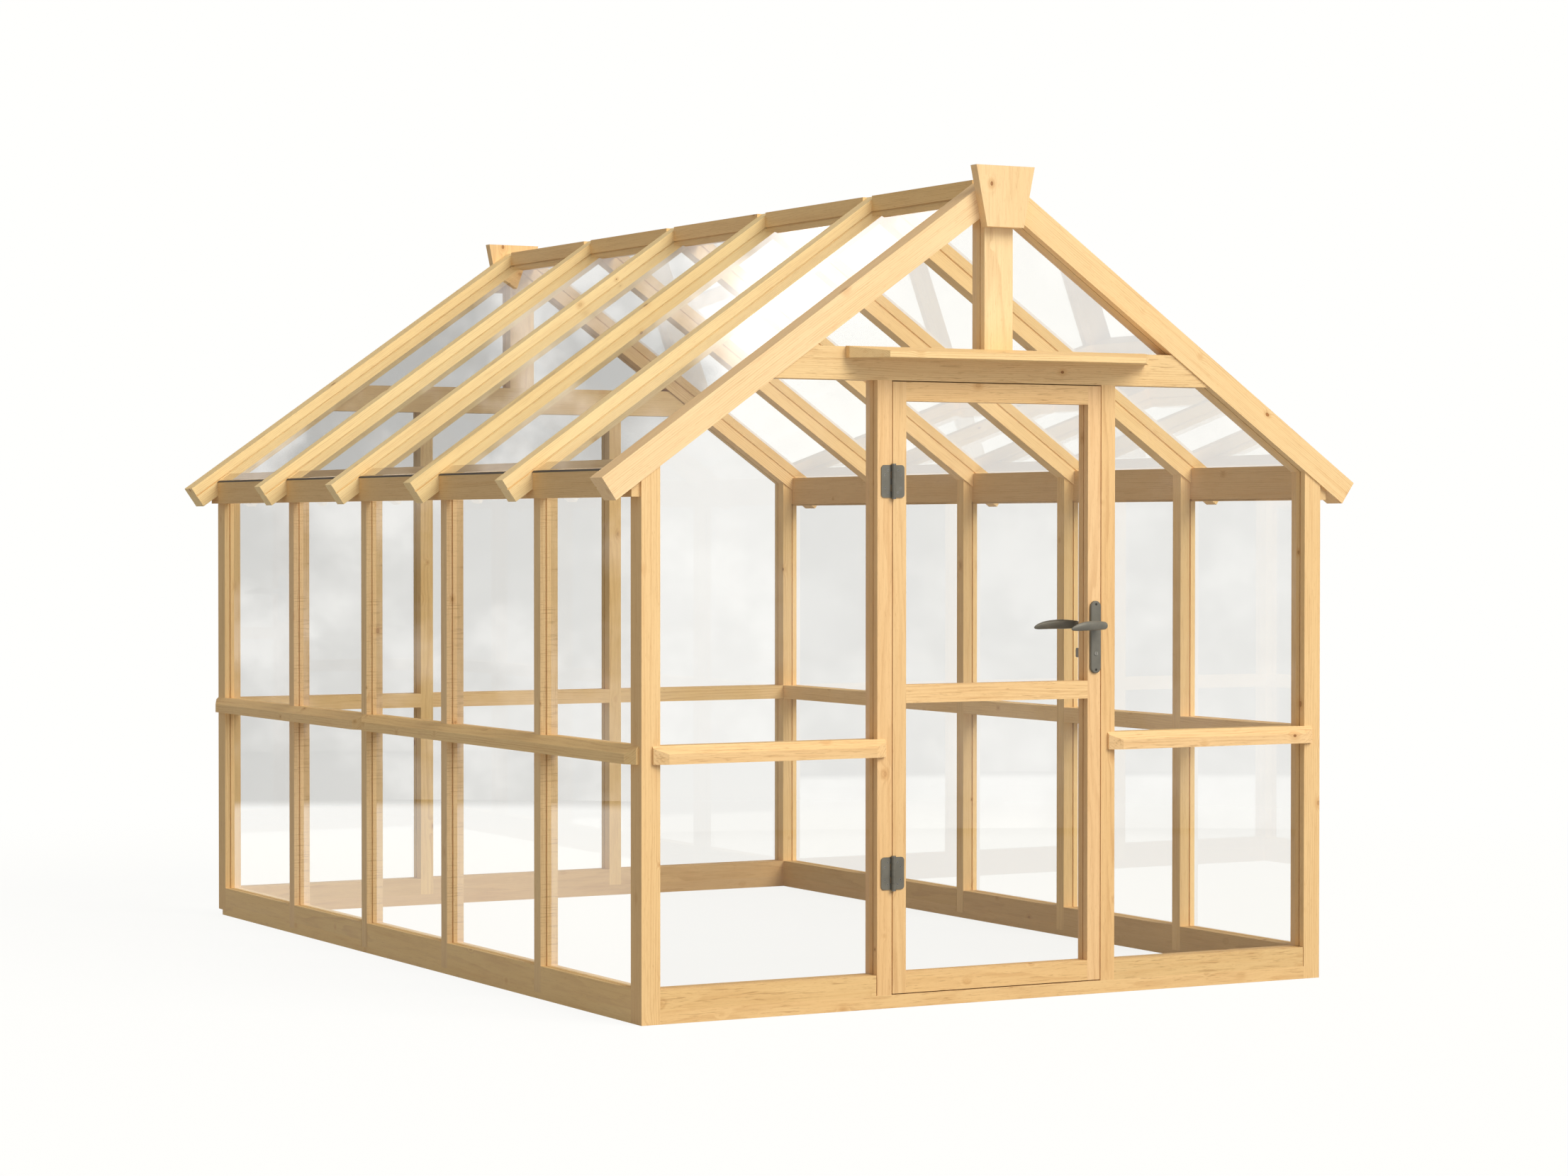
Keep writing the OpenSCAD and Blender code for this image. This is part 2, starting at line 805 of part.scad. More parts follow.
lever_faces = concat(
    [for (j = [0:lever_sides - 1]) [0, lever_at(1, j + 1), lever_at(1, j)]],
    [for (i = [1:lever_rings - 2]) for (j = [0:lever_sides - 1])
        [lever_at(i, j), lever_at(i + 1, j + 1), lever_at(i + 1, j)]],
    [for (i = [1:lever_rings - 2]) for (j = [0:lever_sides - 1])
        [lever_at(i, j), lever_at(i, j + 1), lever_at(i + 1, j + 1)]],
    [for (j = [0:lever_sides - 1])
        [lever_tip, lever_at(lever_rings - 1, j), lever_at(lever_rings - 1, j + 1)]]);

module lever() {
    translate([lock_x, 0, lever_z]) {
        polyhedron(lever_points, lever_faces);
        translate([0, -pin_play, 0])
            rotate([90, 0, 0])
                cylinder(h = lever_out - pin_play, r = neck_r);
    }
}

// A sliding bolt's box, x from the edge of the leaf
module bolt_box(x0, x1, z, height, play) {
    block(leaf_w / 2 + x0, leaf_w / 2 + x1, leaf_t / 2 - bolt_t / 2 - play,
        leaf_t / 2 + bolt_t / 2 + play, z - height / 2 - play, z + height / 2 + play);
}

module lock_body(play) {
    mid = leaf_t / 2;
    block(forend_x - case_d - play, forend_x + past, mid - case_t / 2 - play,
        mid + case_t / 2 + play, case_z0 - play, case_z1 + play);
    block(forend_x, leaf_w / 2 + (play > 0 ? past : 0), mid - forend_w / 2 - play,
        mid + forend_w / 2 + play, case_z0 - forend_over - play, case_z1 + forend_over + play);
}

module across_leaf(z, r) {
    translate([lock_x, leaf_t + past, z])
        rotate([90, 0, 0])
            cylinder(h = leaf_t + 2 * past, r = r);
}

// Panes of the door, or their grooves
module door_panes(let_in, thick) {
    x = leaf_w / 2 - stile_w + let_in;
    y0 = front_glass_in - thick / 2;
    block(-x, x, y0, y0 + thick, leaf_z + low_rail_h - groove_d, leaf_z + mid_rail_up + let_in);
    block(-x, x, y0, y0 + thick, leaf_z + mid_rail_up + mid_rail_h - groove_d,
        leaf_top - top_rail_h + let_in);
}

module sill_front() {
    color(pine) place()
        block(-half_w + corner_w, half_w - corner_w, 0, front_t, 0, sill_h);
}

module sill_back() {
    color(pine) place()
        difference() {
            block(-half_w + side_t, half_w - side_t, house_d - front_t, house_d, 0, sill_h);
            both_sides()
                block(-half_w, -half_w + corner_w, house_d - front_t - past, house_d + past,
                    foot_z, sill_h + past);
        }
}

module sill_left() {
    color(pine) place()
        side_sill();
}

module sill_right() {
    color(pine) place()
        mirror([1, 0, 0])
            side_sill();
}

module corner_posts_front() {
    color(pine) place()
        difference() {
            both_sides()
                corner_post(0);
            both_sides()
                side_grooves();
            end_grooves();
        }
}

module corner_posts_back() {
    color(pine) place()
        difference() {
            at_back()
                both_sides()
                    corner_post(foot_z);
            both_sides()
                side_grooves();
            back_grooves();
        }
}

module studs_left() {
    color(pine) place()
        side_studs();
}

module studs_right() {
    color(pine) place()
        mirror([1, 0, 0])
            side_studs();
}

module studs_back() {
    color(pine) place()
        difference() {
            both_sides()
                block(-jamb_out, -door_half, house_d - front_t, house_d, sill_h, tie_z);
            back_grooves();
        }
}

module door_jamb_hinge_side() {
    color(pine) place()
        difference() {
            block(-jamb_out, -door_half, 0, front_t, sill_h, tie_z);
            end_grooves();
            mirror_at_hinge()
                at_hinge_screws()
                    screw(pin_play);
        }
}

module door_jamb_lock_side() {
    mid = leaf_t / 2;
    gap_x = door_half - leaf_w / 2;
    color(pine) place()
        difference() {
            block(door_half, jamb_out, 0, front_t, sill_h, tie_z);
            end_grooves();
            block(door_half - past, door_half + strike_t, mid - strike_w / 2 - fit_play,
                mid + strike_w / 2 + fit_play, strike_z0 - fit_play, strike_z1 + fit_play);
            bolt_box(gap_x, gap_x + latch_throw + strike_room, latch_z, latch_h, strike_play);
            bolt_box(gap_x, gap_x + bolt_throw + strike_room, bolt_z, bolt_h, strike_play);
        }
}

module bottom_rails_left() {
    color(pine) place()
        side_rails();
}

module bottom_rails_right() {
    color(pine) place()
        mirror([1, 0, 0])
            side_rails();
}

module bottom_rails_front() {
    color(pine) place()
        difference() {
            union() {
                block(-half_w + corner_w, -jamb_out - panel_gap, 0, front_t, sill_h, rail_top);
                block(jamb_out, half_w - corner_w - panel_gap, 0, front_t, sill_h, rail_top);
            }
            end_grooves();
        }
}

module bottom_rails_back() {
    color(pine) place()
        difference() {
            at_back() {
                both_sides()
                    block(-half_w + corner_w, -jamb_out, 0, front_t, sill_h, rail_top);
                block(-door_half, door_half, 0, front_t, sill_h, rail_top);
            }
            back_grooves();
        }
}

module transoms_left() {
    color(pine) place()
        side_transoms();
}

module transoms_right() {
    color(pine) place()
        mirror([1, 0, 0])
            side_transoms();
}

module transoms_front() {
    color(pine) place()
        difference() {
            end_transoms();
            end_grooves();
        }
}

module transoms_back() {
    color(pine) place()
        difference() {
            at_back() {
                end_transoms();
                block(-door_half, door_half, 0, front_t, transom_z, transom_top);
            }
            back_grooves();
        }
}

module weather_bars_left() {
    color(pine) place()
        mirror([1, 0, 0])
            right_side_bars();
}

module weather_bars_right() {
    color(pine) place()
        right_side_bars();
}

module weather_bars_front() {
    color(pine) place()
        both_sides()
            end_bar();
}

module weather_bars_back() {
    color(pine) place()
        at_back()
            translate([-half_w + corner_w - weather_lap, 0, transom_z])
                weather_bar(2 * (half_w - corner_w + weather_lap));
}

module eaves_beam_left() {
    color(pine) place()
        eaves_beam();
}

module eaves_beam_right() {
    color(pine) place()
        mirror([1, 0, 0])
            eaves_beam();
}

module tie_beam_front() {
    color(pine) place()
        tie_beam();
}

module tie_beam_back() {
    color(pine) place()
        difference() {
            at_back()
                tie_beam();
            back_grooves();
        }
}

module king_posts() {
    color(pine) place() {
        king_post();
        at_back()
            king_post();
    }
}

module gable_rafters_left() {
    color(pine) place()
        gable_rafter_pair();
}

module gable_rafters_right() {
    color(pine) place()
        mirror([1, 0, 0])
            gable_rafter_pair();
}

module rafters_left() {
    color(pine) place()
        inner_rafters();
}

module rafters_right() {
    color(pine) place()
        mirror([1, 0, 0])
            inner_rafters();
}

module ridge_blocks() {
    color(pine_shade) place()
        for (i = [0:last_bay])
            ridge_block(rafter_y1(i), rafter_y0(i + 1));
}

module ridge_end_boards() {
    color(pine) place() {
        end_board();
        at_back()
            end_board();
    }
}

module door_canopy() {
    z0 = tie_z + canopy_up;
    side = canopy_w / 2;
    front = canopy_front_w / 2;
    color(pine) place()
        intersection() {
            slab_x(-side, side)
                polygon([[0, z0], [-canopy_d, z0], [-canopy_d, z0 + canopy_front_h],
                    [0, z0 + canopy_back_h]]);
            translate([0, 0, z0])
                linear_extrude(canopy_back_h)
                    polygon([[-side, 0], [-side, -canopy_square], [-front, -canopy_d],
                        [front, -canopy_d], [side, -canopy_square], [side, 0]]);
        }
}

module wall_glass_left() {
    color(clear_glass) place()
        side_panes(groove_d - pane_play, glass_t);
}

module wall_glass_right() {
    color(clear_glass) place()
        mirror([1, 0, 0])
            side_panes(groove_d - pane_play, glass_t);
}

module wall_glass_front() {
    color(clear_glass) place()
        both_sides()
            end_panes(groove_d - pane_play, glass_t);
}

module wall_glass_back() {
    color(clear_glass) place()
        at_back() {
            both_sides()
                end_panes(groove_d - pane_play, glass_t);
            middle_panes(groove_d - pane_play, glass_t);
        }
}

module roof_glass_left() {
    color(clear_glass) place()
        left_roof_panes();
}

module roof_glass_right() {
    color(clear_glass) place()
        mirror([1, 0, 0])
            left_roof_panes();
}

module glazing_tapes() {
    color(dark_rubber) place()
        both_sides()
            left_tapes();
}

module door_stops() {
    y0 = leaf_t + stop_gap;
    handle_room = 10;
    color(pine) place() {
        block(-door_half, -door_half + stop_w, y0, front_t, sill_h, tie_z);
        block(-door_half + stop_w + fit_play, door_half - stop_w - fit_play, y0, front_t,
            tie_z - stop_w, tie_z);
        block(door_half - stop_w, door_half, y0, front_t, sill_h, plate_z - handle_room);
        block(door_half - stop_w, door_half, y0, front_t, plate_z + plate_h + handle_room,
            tie_z);
    }
}

module hinge_leaves_frame() {
    color(grey_metal) place()
        mirror_at_hinge()
            hinge_leaves(0);
}

module hinge_pins() {
    color(grey_metal) place()
        for (z = hinge_zs)
            translate([hinge_x, hinge_y, z]) {
                translate([0, 0, -hinge_h / 2 - pin_head_h])
                    cylinder(h = hinge_h + 2 * pin_head_h, r = pin_r);
                for (z1 = [-hinge_h / 2 - pin_head_h, hinge_h / 2])
                    translate([0, 0, z1])
                        cylinder(h = pin_head_h, r = knuckle_r);
            }
}

module strike_plate() {
    mid = leaf_t / 2;
    gap_x = door_half - leaf_w / 2;
    color(bright_metal) place()
        difference() {
            block(door_half, door_half + strike_t, mid - strike_w / 2, mid + strike_w / 2,
                strike_z0, strike_z1);
            bolt_box(gap_x - past, gap_x + 2 * strike_t, latch_z, latch_h, strike_play);
            bolt_box(gap_x - past, gap_x + 2 * strike_t, bolt_z, bolt_h, strike_play);
        }
}

module hinge_screws_frame() {
    color(grey_metal) place()
        mirror_at_hinge()
            at_hinge_screws()
                socket_screw();
}

module door_hinge_stile() {
    color(pine_door) place()
        difference() {
            block(-leaf_w / 2, -leaf_w / 2 + stile_w, 0, leaf_t, leaf_z, leaf_top);
            door_panes(groove_d, groove_w);
            at_hinge_screws()
                screw(pin_play);
        }
}

module door_lock_stile() {
    color(pine_door) place()
        difference() {
            block(leaf_w / 2 - stile_w, leaf_w / 2, 0, leaf_t, leaf_z, leaf_top);
            door_panes(groove_d, groove_w);
            lock_body(fit_play);
            across_leaf(lever_z, spindle_w / sqrt(2) + bore_play);
            across_leaf(turn_z, turn_spindle_w / sqrt(2) + bore_play);
            at_plate_screws()
                screw(pin_play);
            inside_of_leaf()
                at_plate_screws()
                    screw(pin_play);
        }
}

module door_rails() {
    x = leaf_w / 2 - stile_w;
    z_mid = leaf_z + mid_rail_up;
    color(pine_door) place()
        difference() {
            union() {
                block(-x, x, 0, leaf_t, leaf_z, leaf_z + low_rail_h);
                block(-x, x, 0, leaf_t, z_mid, z_mid + mid_rail_h);
                block(-x, x, 0, leaf_t, leaf_top - top_rail_h, leaf_top);
            }
            door_panes(groove_d, groove_w);
        }
}

module door_glass() {
    color(clear_glass) place()
        door_panes(groove_d - pane_play, glass_t);
}

module hinge_leaves_door() {
    color(grey_metal) place()
        hinge_leaves(1);
}

module lock_case() {
    color(bright_metal) place()
        difference() {
            lock_body(0);
            across_leaf(lever_z, spindle_w / sqrt(2) + spindle_play);
            across_leaf(turn_z, turn_spindle_w / sqrt(2) + spindle_play);
            bolt_box(-latch_len - latch_throw - fit_play, past, latch_z, latch_h, bolt_play);
            bolt_box(-bolt_len - fit_play, past, bolt_z, bolt_h, bolt_play);
        }
}

module handle_plates() {
    color(grey_metal) place() {
        handle_plate();
        inside_of_leaf()
            handle_plate();
    }
}

module hinge_screws_door() {
    color(grey_metal) place()
        at_hinge_screws()
            socket_screw();
}

module handle_screws() {
    color(grey_metal) place() {
        at_plate_screws()
            socket_screw();
        inside_of_leaf()
            at_plate_screws()
                socket_screw();
    }
}

module handle_levers() {
    half = spindle_w / 2;
    color(grey_metal) place()
        union() {
            lever();
            inside_of_leaf()
                lever();
            block(lock_x - half, lock_x + half, -plate_t, leaf_t + plate_t,
                lever_z - half, lever_z + half);
        }
}

// Spring latch, its tip slanted on the side that meets the strike when the door closes
module latch_bolt() {
    mid = leaf_t / 2;
    tip = leaf_w / 2 + latch_throw;
    slant = latch_throw - 2;
    nose = 1;
    color(bright_metal) place()
        translate([0, 0, latch_z - latch_h / 2])
            linear_extrude(latch_h)
                polygon([[leaf_w / 2 - latch_len, mid - bolt_t / 2],
                    [tip, mid - bolt_t / 2], [tip, mid - bolt_t / 2 + nose],
                    [tip - slant, mid + bolt_t / 2],
                    [leaf_w / 2 - latch_len, mid + bolt_t / 2]]);
}

// Turn inside, coin slot outside, square spindle between them
module thumb_turn() {
    half = turn_spindle_w / 2;
    blade_t = 8;
    blade_r = 5;
    blade_gap = 8;
    button_out = 1.5;
    y_blade = leaf_t + plate_t + blade_gap;
    y_end = leaf_t + plate_t + turn_out;
    slot_w = 1.6;
    slot_d = 1.5;
    color(grey_metal) place()
        translate([lock_x, 0, turn_z])
            difference() {
                union() {
                    rotate([90, 0, 0])
                        cylinder(h = plate_t + button_out, r = turn_neck_r);
                    block(-half, half, -plate_t, leaf_t + plate_t, -half, half);
                    translate([0, leaf_t, 0])
                        rotate([-90, 0, 0])
                            cylinder(h = y_blade - leaf_t + past, r = turn_neck_r);
                    slab_x(-blade_t / 2, blade_t / 2) {
                        for (up = [-1, 1])
                            translate([y_end - blade_r, up * (turn_h / 2 - blade_r)])
                                circle(r = blade_r);
                        translate([y_blade, -turn_h / 2])
                            square([y_end - y_blade - blade_r, turn_h]);
                        translate([y_end - blade_r - past, blade_r - turn_h / 2])
                            square([blade_r + past, turn_h - 2 * blade_r]);
                    }
                }
                block(-slot_w / 2, slot_w / 2, -plate_t - button_out - past,
                    -plate_t - button_out + slot_d,
                    -turn_neck_r, turn_neck_r);
            }
}

module dead_bolt() {
    color(bright_metal) place()
        bolt_box(-bolt_len, 0, bolt_z, bolt_h, 0);
}

sill_front();
sill_back();
sill_left();
sill_right();
corner_posts_front();
corner_posts_back();
studs_left();
studs_right();
studs_back();
door_jamb_hinge_side();
door_jamb_lock_side();
bottom_rails_left();
bottom_rails_right();
bottom_rails_front();
bottom_rails_back();
transoms_left();
transoms_right();
transoms_front();
transoms_back();
weather_bars_left();
weather_bars_right();
weather_bars_front();
weather_bars_back();
eaves_beam_left();
eaves_beam_right();
tie_beam_front();
tie_beam_back();
king_posts();
gable_rafters_left();
gable_rafters_right();
rafters_left();
rafters_right();
ridge_blocks();
ridge_end_boards();
door_canopy();
wall_glass_left();
wall_glass_right();
wall_glass_front();
wall_glass_back();
roof_glass_left();
roof_glass_right();
glazing_tapes();
door_stops();
hinge_leaves_frame();
hinge_pins();
strike_plate();
hinge_screws_frame();
door_hinge_stile();
door_lock_stile();
door_rails();
door_glass();
hinge_leaves_door();
lock_case();
handle_plates();
hinge_screws_door();
handle_screws();
handle_levers();
latch_bolt();
thumb_turn();
dead_bolt();
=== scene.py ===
import math

import bpy
import numpy as np
from mathutils import Matrix, Vector

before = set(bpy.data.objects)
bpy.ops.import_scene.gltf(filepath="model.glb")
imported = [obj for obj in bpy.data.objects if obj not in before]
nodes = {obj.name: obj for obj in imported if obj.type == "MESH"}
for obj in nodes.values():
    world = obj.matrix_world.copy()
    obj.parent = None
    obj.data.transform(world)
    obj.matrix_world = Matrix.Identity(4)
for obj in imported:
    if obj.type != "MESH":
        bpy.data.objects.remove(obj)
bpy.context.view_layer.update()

# ---------------------------------------------------------------- camera
# Fitted to the photograph's straight edges
IMAGE_W = 2212
FOCAL_PX = 5201.5
SENSOR = 36.0
CLIP_NEAR, CLIP_FAR = 0.05, 200.0
CAMERA_AT = Vector((-5.6700, -10.7391, 1.3716))
YAW, PITCH, ROLL = math.radians(28.628), math.radians(0.925), math.radians(-0.021)


def make_camera():
    forward = Vector((math.sin(YAW) * math.cos(PITCH),
                      math.cos(YAW) * math.cos(PITCH),
                      -math.sin(PITCH)))
    level = Vector((math.cos(YAW), -math.sin(YAW), 0.0))
    down = forward.cross(level)
    right = math.cos(ROLL) * level + math.sin(ROLL) * down
    down = forward.cross(right)
    data = bpy.data.cameras.new("camera")
    data.sensor_fit = "HORIZONTAL"
    data.sensor_width = SENSOR
    data.lens = FOCAL_PX / IMAGE_W * SENSOR
    data.clip_start = CLIP_NEAR
    data.clip_end = CLIP_FAR
    camera = bpy.data.objects.new("camera", data)
    bpy.context.scene.collection.objects.link(camera)
    turn = Matrix((right, -down, -forward)).transposed()
    camera.matrix_world = Matrix.Translation(CAMERA_AT) @ turn.to_4x4()
    bpy.context.scene.camera = camera


make_camera()


# ---------------------------------------------------------------- node helpers
def srgb(r, g, b):
    def one(c):
        c /= 255.0
        return c / 12.92 if c <= 0.04045 else ((c + 0.055) / 1.055) ** 2.4
    return (one(r), one(g), one(b), 1.0)


class Tree:
    """A node tree with short calls to add and join its nodes."""

    def __init__(self, tree):
        self.tree = tree

    def add(self, kind, **settings):
        node = self.tree.nodes.new(kind)
        for key, value in settings.items():
            setattr(node, key, value)
        return node

    def put(self, socket, value):
        if isinstance(value, bpy.types.NodeSocket):
            self.tree.links.new(value, socket)
        elif value is not None:
            socket.default_value = value

    def fill(self, node, **values):
        """Set or join inputs by name; an underscore stands for a space."""
        for name, value in values.items():
            self.put(node.inputs[name.replace("_", " ")], value)
        return node

    def math(self, operation, *values, clamp=False):
        node = self.add("ShaderNodeMath", operation=operation, use_clamp=clamp)
        for socket, value in zip(node.inputs, values):
            self.put(socket, value)
        return node.outputs[0]

    def times(self, a, b):
        return self.math("MULTIPLY", a, b)

    def plus(self, a, b):
        return self.math("ADD", a, b)

    def minus(self, a, b):
        return self.math("SUBTRACT", a, b)

    def scaled(self, value, factor, offset):
        return self.math("MULTIPLY_ADD", value, factor, offset)

    def vector(self, operation, *values):
        node = self.add("ShaderNodeVectorMath", operation=operation)
        for socket, value in zip(node.inputs, values):
            self.put(socket, value)
        scalar = operation in ("DOT_PRODUCT", "LENGTH", "DISTANCE")
        return node.outputs["Value"] if scalar else node.outputs["Vector"]

    def combine(self, x, y, z):
        node = self.add("ShaderNodeCombineXYZ")
        for socket, value in zip(node.inputs, (x, y, z)):
            self.put(socket, value)
        return node.outputs[0]

    def split(self, vector):
        node = self.add("ShaderNodeSeparateXYZ")
        self.put(node.inputs[0], vector)
        return node.outputs

    def noise(self, vector, scale, detail=2.0, rough=0.5, lift=0.0):
        node = self.add("ShaderNodeTexNoise")
        self.fill(node, Vector=vector, Scale=scale, Detail=detail, Roughness=rough, Distortion=lift)
        return node.outputs["Fac"]

    def step(self, value, low, high, to_low=0.0, to_high=1.0):
        node = self.add("ShaderNodeMapRange", interpolation_type="SMOOTHSTEP")
        self.fill(node, Value=value, From_Min=low, From_Max=high, To_Min=to_low, To_Max=to_high)
        return node.outputs["Result"]

    def mix(self, fac, a, b, blend="MIX"):
        node = self.add("ShaderNodeMix", data_type="RGBA", blend_type=blend)
        self.put(node.inputs[0], fac)
        self.put(node.inputs[6], a)
        self.put(node.inputs[7], b)
        return node.outputs[2]

    def bump(self, height, strength, distance):
        node = self.add("ShaderNodeBump")
        self.fill(node, Strength=strength, Distance=distance, Height=height)
        return node.outputs["Normal"]

    def mix_shaders(self, fac, a, b):
        node = self.add("ShaderNodeMixShader")
        for socket, value in zip(node.inputs, (fac, a, b)):
            self.put(socket, value)
        return node.outputs[0]

    def add_shaders(self, a, b):
        node = self.add("ShaderNodeAddShader")
        for socket, value in zip(node.inputs, (a, b)):
            self.put(socket, value)
        return node.outputs[0]

    def shader(self, kind, **values):
        return self.fill(self.add(kind), **values).outputs[0]

    def surface(self, shader, kind="ShaderNodeOutputMaterial"):
        self.put(self.add(kind).inputs["Surface"], shader)


def new_material(name):
    material = bpy.data.materials.new(name)
    material.use_nodes = True
    material.node_tree.nodes.clear()
    return material, Tree(material.node_tree)


# ---------------------------------------------------------------- pine
EARLY = srgb(251, 217, 158)
LATE = srgb(204, 152, 92)
STREAK = srgb(226, 176, 112)
WARM = (0.95, 0.905, 0.84, 1.0)
KNOT_HALO = srgb(206, 148, 84)
KNOT_HEART = srgb(176, 118, 62)
KNOT_RIM = srgb(132, 86, 44)
SAWN = srgb(176, 128, 76)

# Each pattern's cells per metre, along the grain and across it
KNOTS = (3.4, 15.0)
RING_SWAY = (0.9, 7.0)
RING_RIPPLE = (7.0, 60.0)
RING_BREAKS = (5.0, 55.0)
STREAKS = (2.2, 70.0)
DASHES = (46.0, 560.0)
FIBRES = (9.0, 420.0)
CURLS = (13.0, 190.0)
PATCHES = (1.6, 9.0)
SAWN_FINE = (190.0, 14.0)
SAWN_COARSE = (9.0, 12.0)

# From where to where each pattern's value turns it on
RING_RISE, RING_FALL = (0.30, 0.86), (0.90, 1.0)
BREAK_RANGE = (0.36, 0.62)
STREAK_RANGE = (0.52, 0.80)
DASH_RANGE = (0.62, 0.76)
FIBRE_RANGE = (0.50, 0.78)
CURL_RANGE = (0.54, 0.72)
PATCH_RANGE = (0.30, 0.72)
SAWN_RANGE, SAWN_PATCH_RANGE = (0.48, 0.68), (0.34, 0.60)
SAWN_FACING = (-0.5, -0.9)
# The same in knot radii from a knot's middle
HALO_RANGE = (2.9, 1.0)
HEART_RANGE = (1.06, 0.86)
RIM_RANGE = (0.55, 0.95)

# Metres
RING_WIDTH = 0.0046
SWAY_SIZE = 0.034
RIPPLE_SIZE = 0.0034
KNOT_RADIUS, KNOT_RADIUS_SPREAD = 0.0026, 0.0052
KNOT_BULGE = 0.0085
PITH_ACROSS = 0.11
PITH_DEEP_LEAST, PITH_DEEP_SPREAD = 0.035, 0.06

# How far one board differs from the next
BOARD_SHIFT = 37.0
SHADE_SPREAD, SHADE_LEAST = 0.07, 0.955
RED_SPREAD = 0.018
BLUE_SPREAD, BLUE_LEAST = 0.06, 0.97
YEAR_SPREAD, YEAR_LEAST = 0.75, 0.35
HEART_LUCK, HEART_SHARE = (0.25, 0.80), (0.25, 0.92)

KNOT_SQUASH = 0.72
KNOT_BULGE_REACH = 2.3
BREAK_SHARE = 0.25

LATE_SHARE = 0.34
STREAK_SHARE = 0.28
DASH_SHARE = 0.30
FIBRE_SHARE = 0.22
PATCH_SHARE = 0.55
HALO_SHARE = 0.34
CURL_SHARE, CURL_SHARE_PLAIN = 0.48, 0.13
SAWN_SHARE, SAWN_PATCH_SHARE = 0.42, 0.25
PINE_ROUGHNESS = 0.62
ROUGH_LATE, ROUGH_FIBRE, ROUGH_HEART = -0.09, 0.14, 0.12
HIGH_LATE, HIGH_FIBRE, HIGH_HEART = 0.45, 0.55, 0.5
PINE_IOR, PINE_SPECULAR = 1.45, 0.30
PINE_BUMP, PINE_BUMP_DEPTH = 0.35, 0.0006


